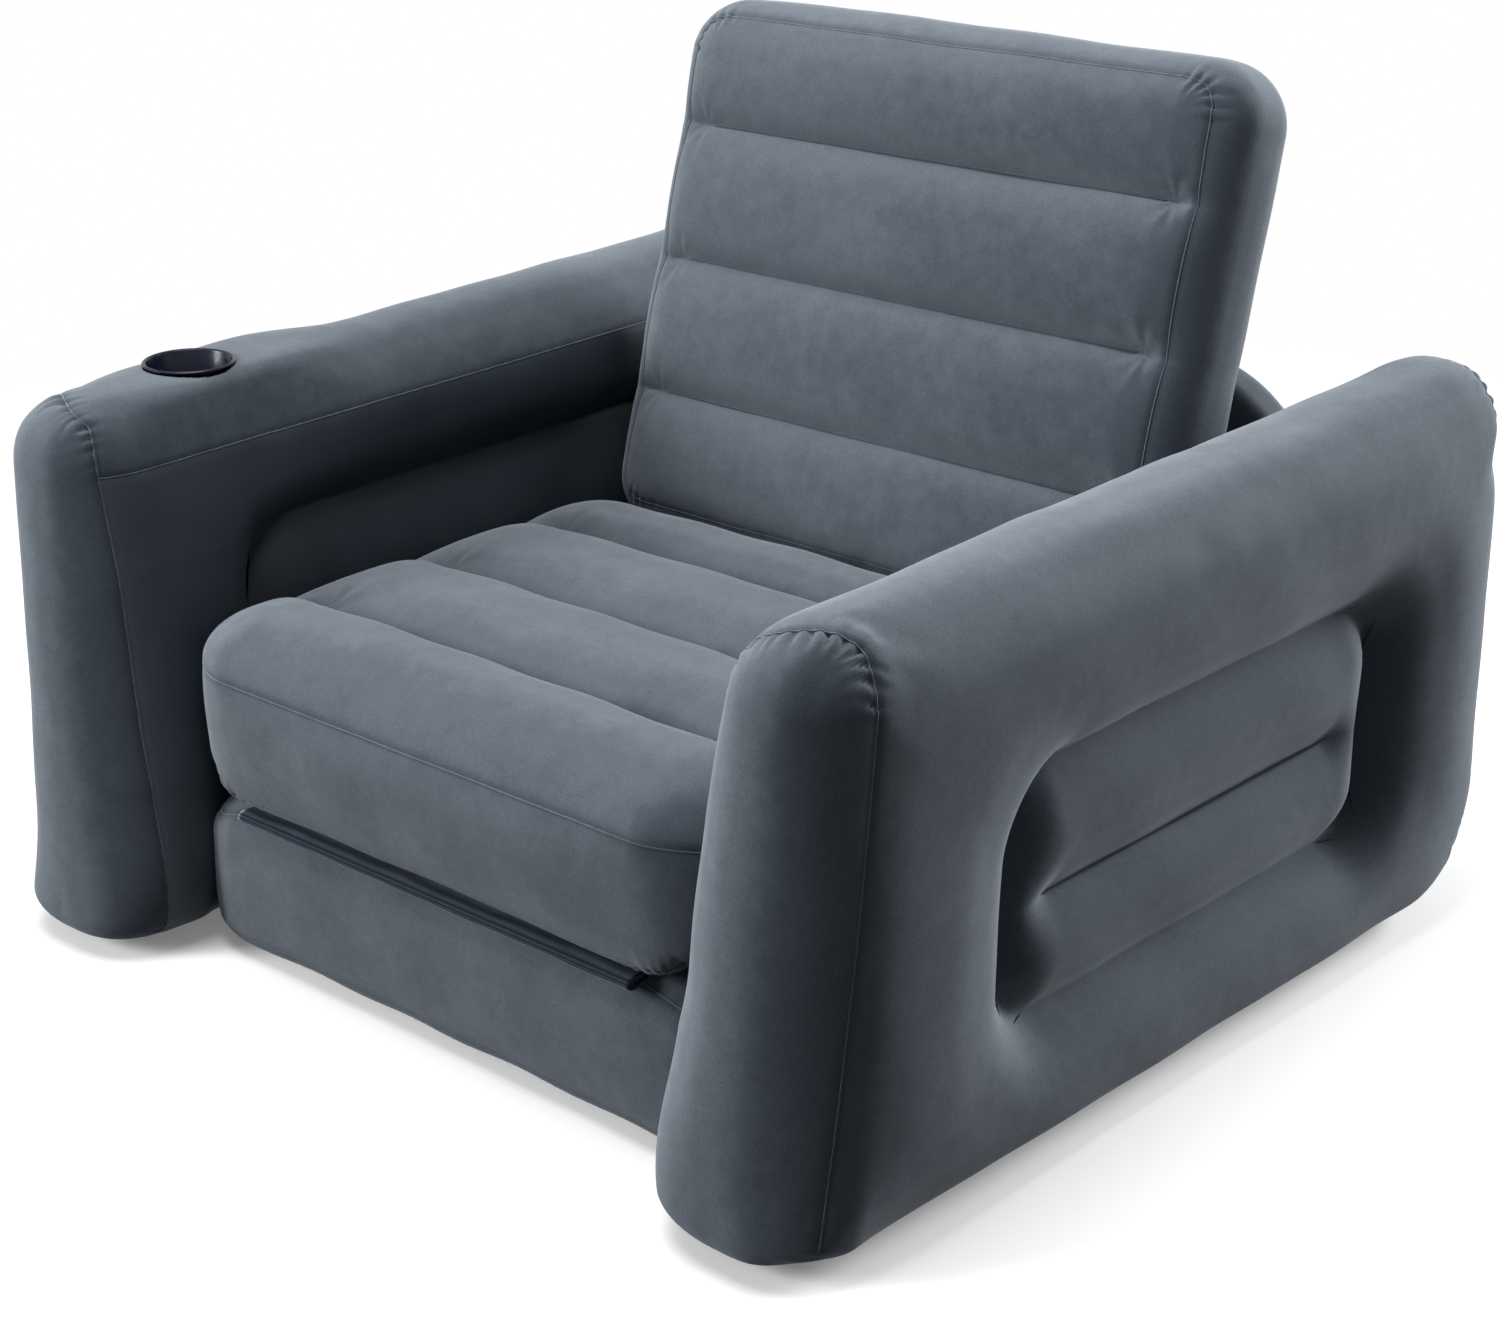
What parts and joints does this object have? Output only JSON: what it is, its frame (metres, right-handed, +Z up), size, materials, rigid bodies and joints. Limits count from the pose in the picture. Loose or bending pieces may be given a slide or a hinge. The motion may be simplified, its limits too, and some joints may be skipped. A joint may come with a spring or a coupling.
{
  "type": "inflatable lounge chair",
  "caption": "Inflatable armchair of welded flocked chambers, with a cup holder in one arm, whose seat swings forward and whose backrest folds flat to make a bed.",
  "frame": {"origin": "centre of the bounding box in X and Y, on the floor", "axes": "+X to the sitter's left as seen from the front, along the chair's width; +Y to the rear; +Z up"},
  "size_m": [1.17, 1.155, 0.93],
  "materials": {
    "flocked_vinyl": "suede-like flock on vinyl",
    "smooth_vinyl": "satin smooth vinyl",
    "weld_film": "smooth vinyl film",
    "moulded_plastic": "glossy moulded vinyl"
  },
  "bodies": {
    "frame": {"left_arm_outer_sheet": "flocked_vinyl", "left_arm_end_band": "flocked_vinyl", "right_arm_outer_sheet": "flocked_vinyl", "right_arm_end_band": "flocked_vinyl", "base_top_sheet": "flocked_vinyl", "base_side_band": "flocked_vinyl", "rear_wall_front_sheet": "flocked_vinyl", "rear_wall_band": "flocked_vinyl", "rear_wall_rear_sheet": "flocked_vinyl", "left_arm_inner_sheet": "smooth_vinyl", "right_arm_inner_sheet": "smooth_vinyl", "left_arm_recess_web": "weld_film", "left_arm_panel_web": "weld_film", "right_arm_recess_web": "weld_film", "right_arm_panel_web": "weld_film", "base_bottom_sheet": "weld_film", "base_web_1": "weld_film", "base_web_2": "weld_film", "base_web_3": "weld_film", "base_web_4": "weld_film", "base_hinge_strip": "weld_film", "rear_wall_web": "weld_film", "frame_valve_check_flap": "weld_film", "cup_holder": "moulded_plastic", "frame_valve_body": "moulded_plastic"},
    "seat": {"seat_top_sheet": "flocked_vinyl", "seat_side_band": "flocked_vinyl", "seat_bottom_sheet": "flocked_vinyl", "seat_web_1": "weld_film", "seat_web_2": "weld_film", "seat_web_3": "weld_film", "seat_hinge_strip": "weld_film", "seat_rear_hinge_strip": "weld_film"},
    "back": {"back_front_sheet": "flocked_vinyl", "back_side_band": "flocked_vinyl", "back_rear_sheet": "flocked_vinyl", "back_web_1": "weld_film", "back_web_2": "weld_film", "back_web_3": "weld_film", "back_hinge_strip": "weld_film", "back_valve_check_flap": "weld_film", "back_valve_body": "moulded_plastic"},
    "frame_stopper": {"frame_valve_stopper": "moulded_plastic"},
    "frame_cap": {"frame_valve_cap": "moulded_plastic"},
    "back_stopper": {"back_valve_stopper": "moulded_plastic"},
    "back_cap": {"back_valve_cap": "moulded_plastic"}
  },
  "joints": [
    {"name": "seat_fold", "type": "hinge", "parent": "frame", "child": "seat", "pos_m": [0, -0.4725, 0.19765], "axis": [1, 0, 0], "range_deg": [0, 180]},
    {"name": "back_fold", "type": "hinge", "parent": "seat", "child": "back", "pos_m": [0, 0.1585, 0.3318], "axis": [1, 0, 0], "range_deg": [-74, 0]},
    {"name": "frame_valve_pull", "type": "slide", "parent": "frame", "child": "frame_stopper", "axis": [0, 1, 0], "range_m": [0, 0.02]},
    {"name": "frame_cap_hinge", "type": "hinge", "parent": "frame_stopper", "child": "frame_cap", "pos_m": [0.2125, 0.568, 0.44], "axis": [0, 0, -1], "range_deg": [0, 150]},
    {"name": "back_valve_pull", "type": "slide", "parent": "back", "child": "back_stopper", "axis": [-1, 0, 0], "range_m": [0, 0.02]},
    {"name": "back_cap_hinge", "type": "hinge", "parent": "back_stopper", "child": "back_cap", "pos_m": [-0.3925, 0.33909, 0.80016], "axis": [0, 0.2756, 0.9613], "range_deg": [0, 150]}
  ],
  "couplings": [
    {"joint": "back_fold", "follows": "seat_fold", "ratio": -0.4111}
  ]
}
